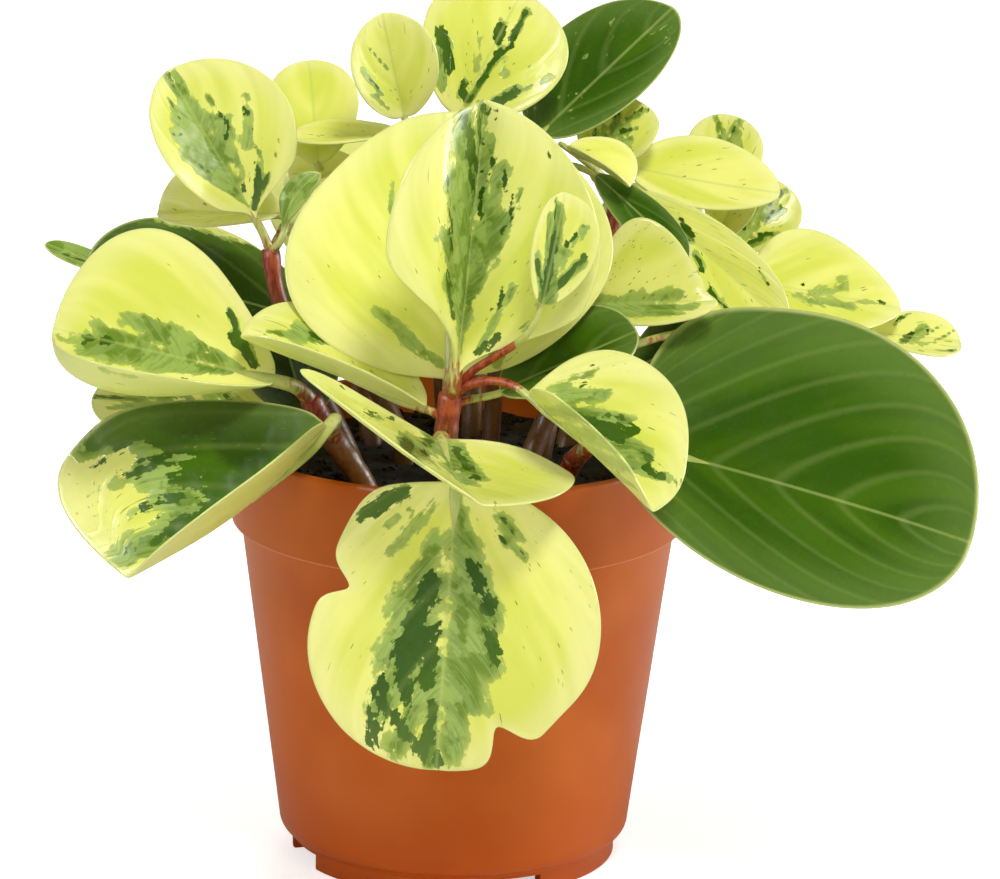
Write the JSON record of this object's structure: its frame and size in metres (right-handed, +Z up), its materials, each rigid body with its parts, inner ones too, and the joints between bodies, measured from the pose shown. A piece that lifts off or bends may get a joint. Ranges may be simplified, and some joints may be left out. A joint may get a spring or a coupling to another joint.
{
  "type": "potted peperomia",
  "caption": "Potted variegated peperomia: leafy stems with round fleshy leaves, standing in soil in a terracotta-orange plastic nursery pot with a collar and a notched foot ring.",
  "frame": {"origin": "under the middle of the whole plant and pot, on the surface that the pot stands on", "axes": "+Z up; +X to the right and -Y towards the viewer in the picture's view, so the hanging leaf over the rim faces -Y"},
  "size_m": [0.2362, 0.1922, 0.2246],
  "materials": {
    "terracotta_plastic": "satin orange-brown moulded polypropylene",
    "potting_soil": "matte dark moist peat soil",
    "variegated_leaf": "waxy satin leaf, cream-yellow with green marbling and red-brown stems",
    "green_leaf": "waxy satin dark green leaf"
  },
  "bodies": {
    "root": {"pot": "terracotta_plastic", "soil": "potting_soil", "front_stem": "variegated_leaf", "left_stem": "variegated_leaf", "upper_left_stem": "variegated_leaf", "back_left_stem": "variegated_leaf", "back_stem": "variegated_leaf", "green_shoot": "green_leaf", "right_stem": "variegated_leaf", "right_low_stem": "variegated_leaf", "green_right_stem": "green_leaf", "rear_left_stem": "variegated_leaf", "rear_stem": "variegated_leaf", "rear_right_stem": "variegated_leaf"}
  },
  "joints": []
}
